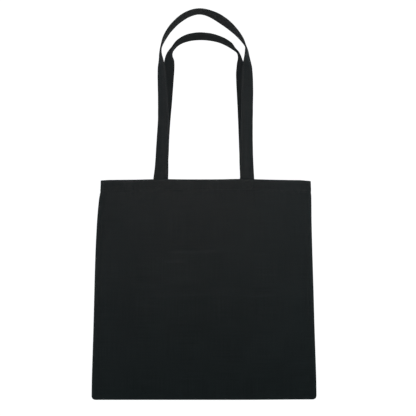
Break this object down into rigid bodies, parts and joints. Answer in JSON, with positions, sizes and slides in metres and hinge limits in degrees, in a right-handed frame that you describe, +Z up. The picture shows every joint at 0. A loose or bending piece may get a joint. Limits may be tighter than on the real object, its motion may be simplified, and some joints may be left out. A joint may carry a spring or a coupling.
{
  "type": "canvas tote bag",
  "caption": "Open-topped flat canvas shopping bag with a folded hem round the mouth and long folded-canvas handles that swing where they are sewn.",
  "frame": {"origin": "middle of the mouth, level with the hems' top edges, which is the centre of the four places where the handles are sewn on", "axes": "+Z up towards the handles, +X to the right seen from the front, -Y out of the front panel"},
  "size_m": [0.404, 0.2353, 0.7059],
  "materials": {
    "canvas": "matt plain-weave cotton canvas, near black",
    "strap_canvas": "matt folded cotton canvas, near black",
    "thread": "satin spun polyester sewing thread, near black"
  },
  "bodies": {
    "bag": {"front_panel": "canvas", "front_hem_topstitch": "thread", "front_left_strap_end": "strap_canvas", "front_right_strap_end": "strap_canvas", "front_left_cross_stitch": "thread", "front_right_cross_stitch": "thread", "back_panel": "canvas", "back_hem_topstitch": "thread", "back_left_strap_end": "strap_canvas", "back_right_strap_end": "strap_canvas", "back_left_cross_stitch": "thread", "back_right_cross_stitch": "thread", "left_seam_overlock": "thread", "right_seam_overlock": "thread", "bottom_seam_overlock": "thread"},
    "front_handle_assembly": {"front_handle": "strap_canvas", "front_handle_inner_stitch": "thread", "front_handle_outer_stitch": "thread"},
    "back_handle_assembly": {"back_handle": "strap_canvas", "back_handle_inner_stitch": "thread", "back_handle_outer_stitch": "thread"}
  },
  "joints": [
    {"name": "front_handle_swing", "type": "hinge", "parent": "bag", "child": "front_handle_assembly", "pos_m": [0, -0.04616, 0.002], "axis": [1, 0, 0], "range_deg": [-10, 178]},
    {"name": "back_handle_swing", "type": "hinge", "parent": "bag", "child": "back_handle_assembly", "pos_m": [0, 0.04616, 0.002], "axis": [-1, 0, 0], "range_deg": [-8, 145]}
  ]
}
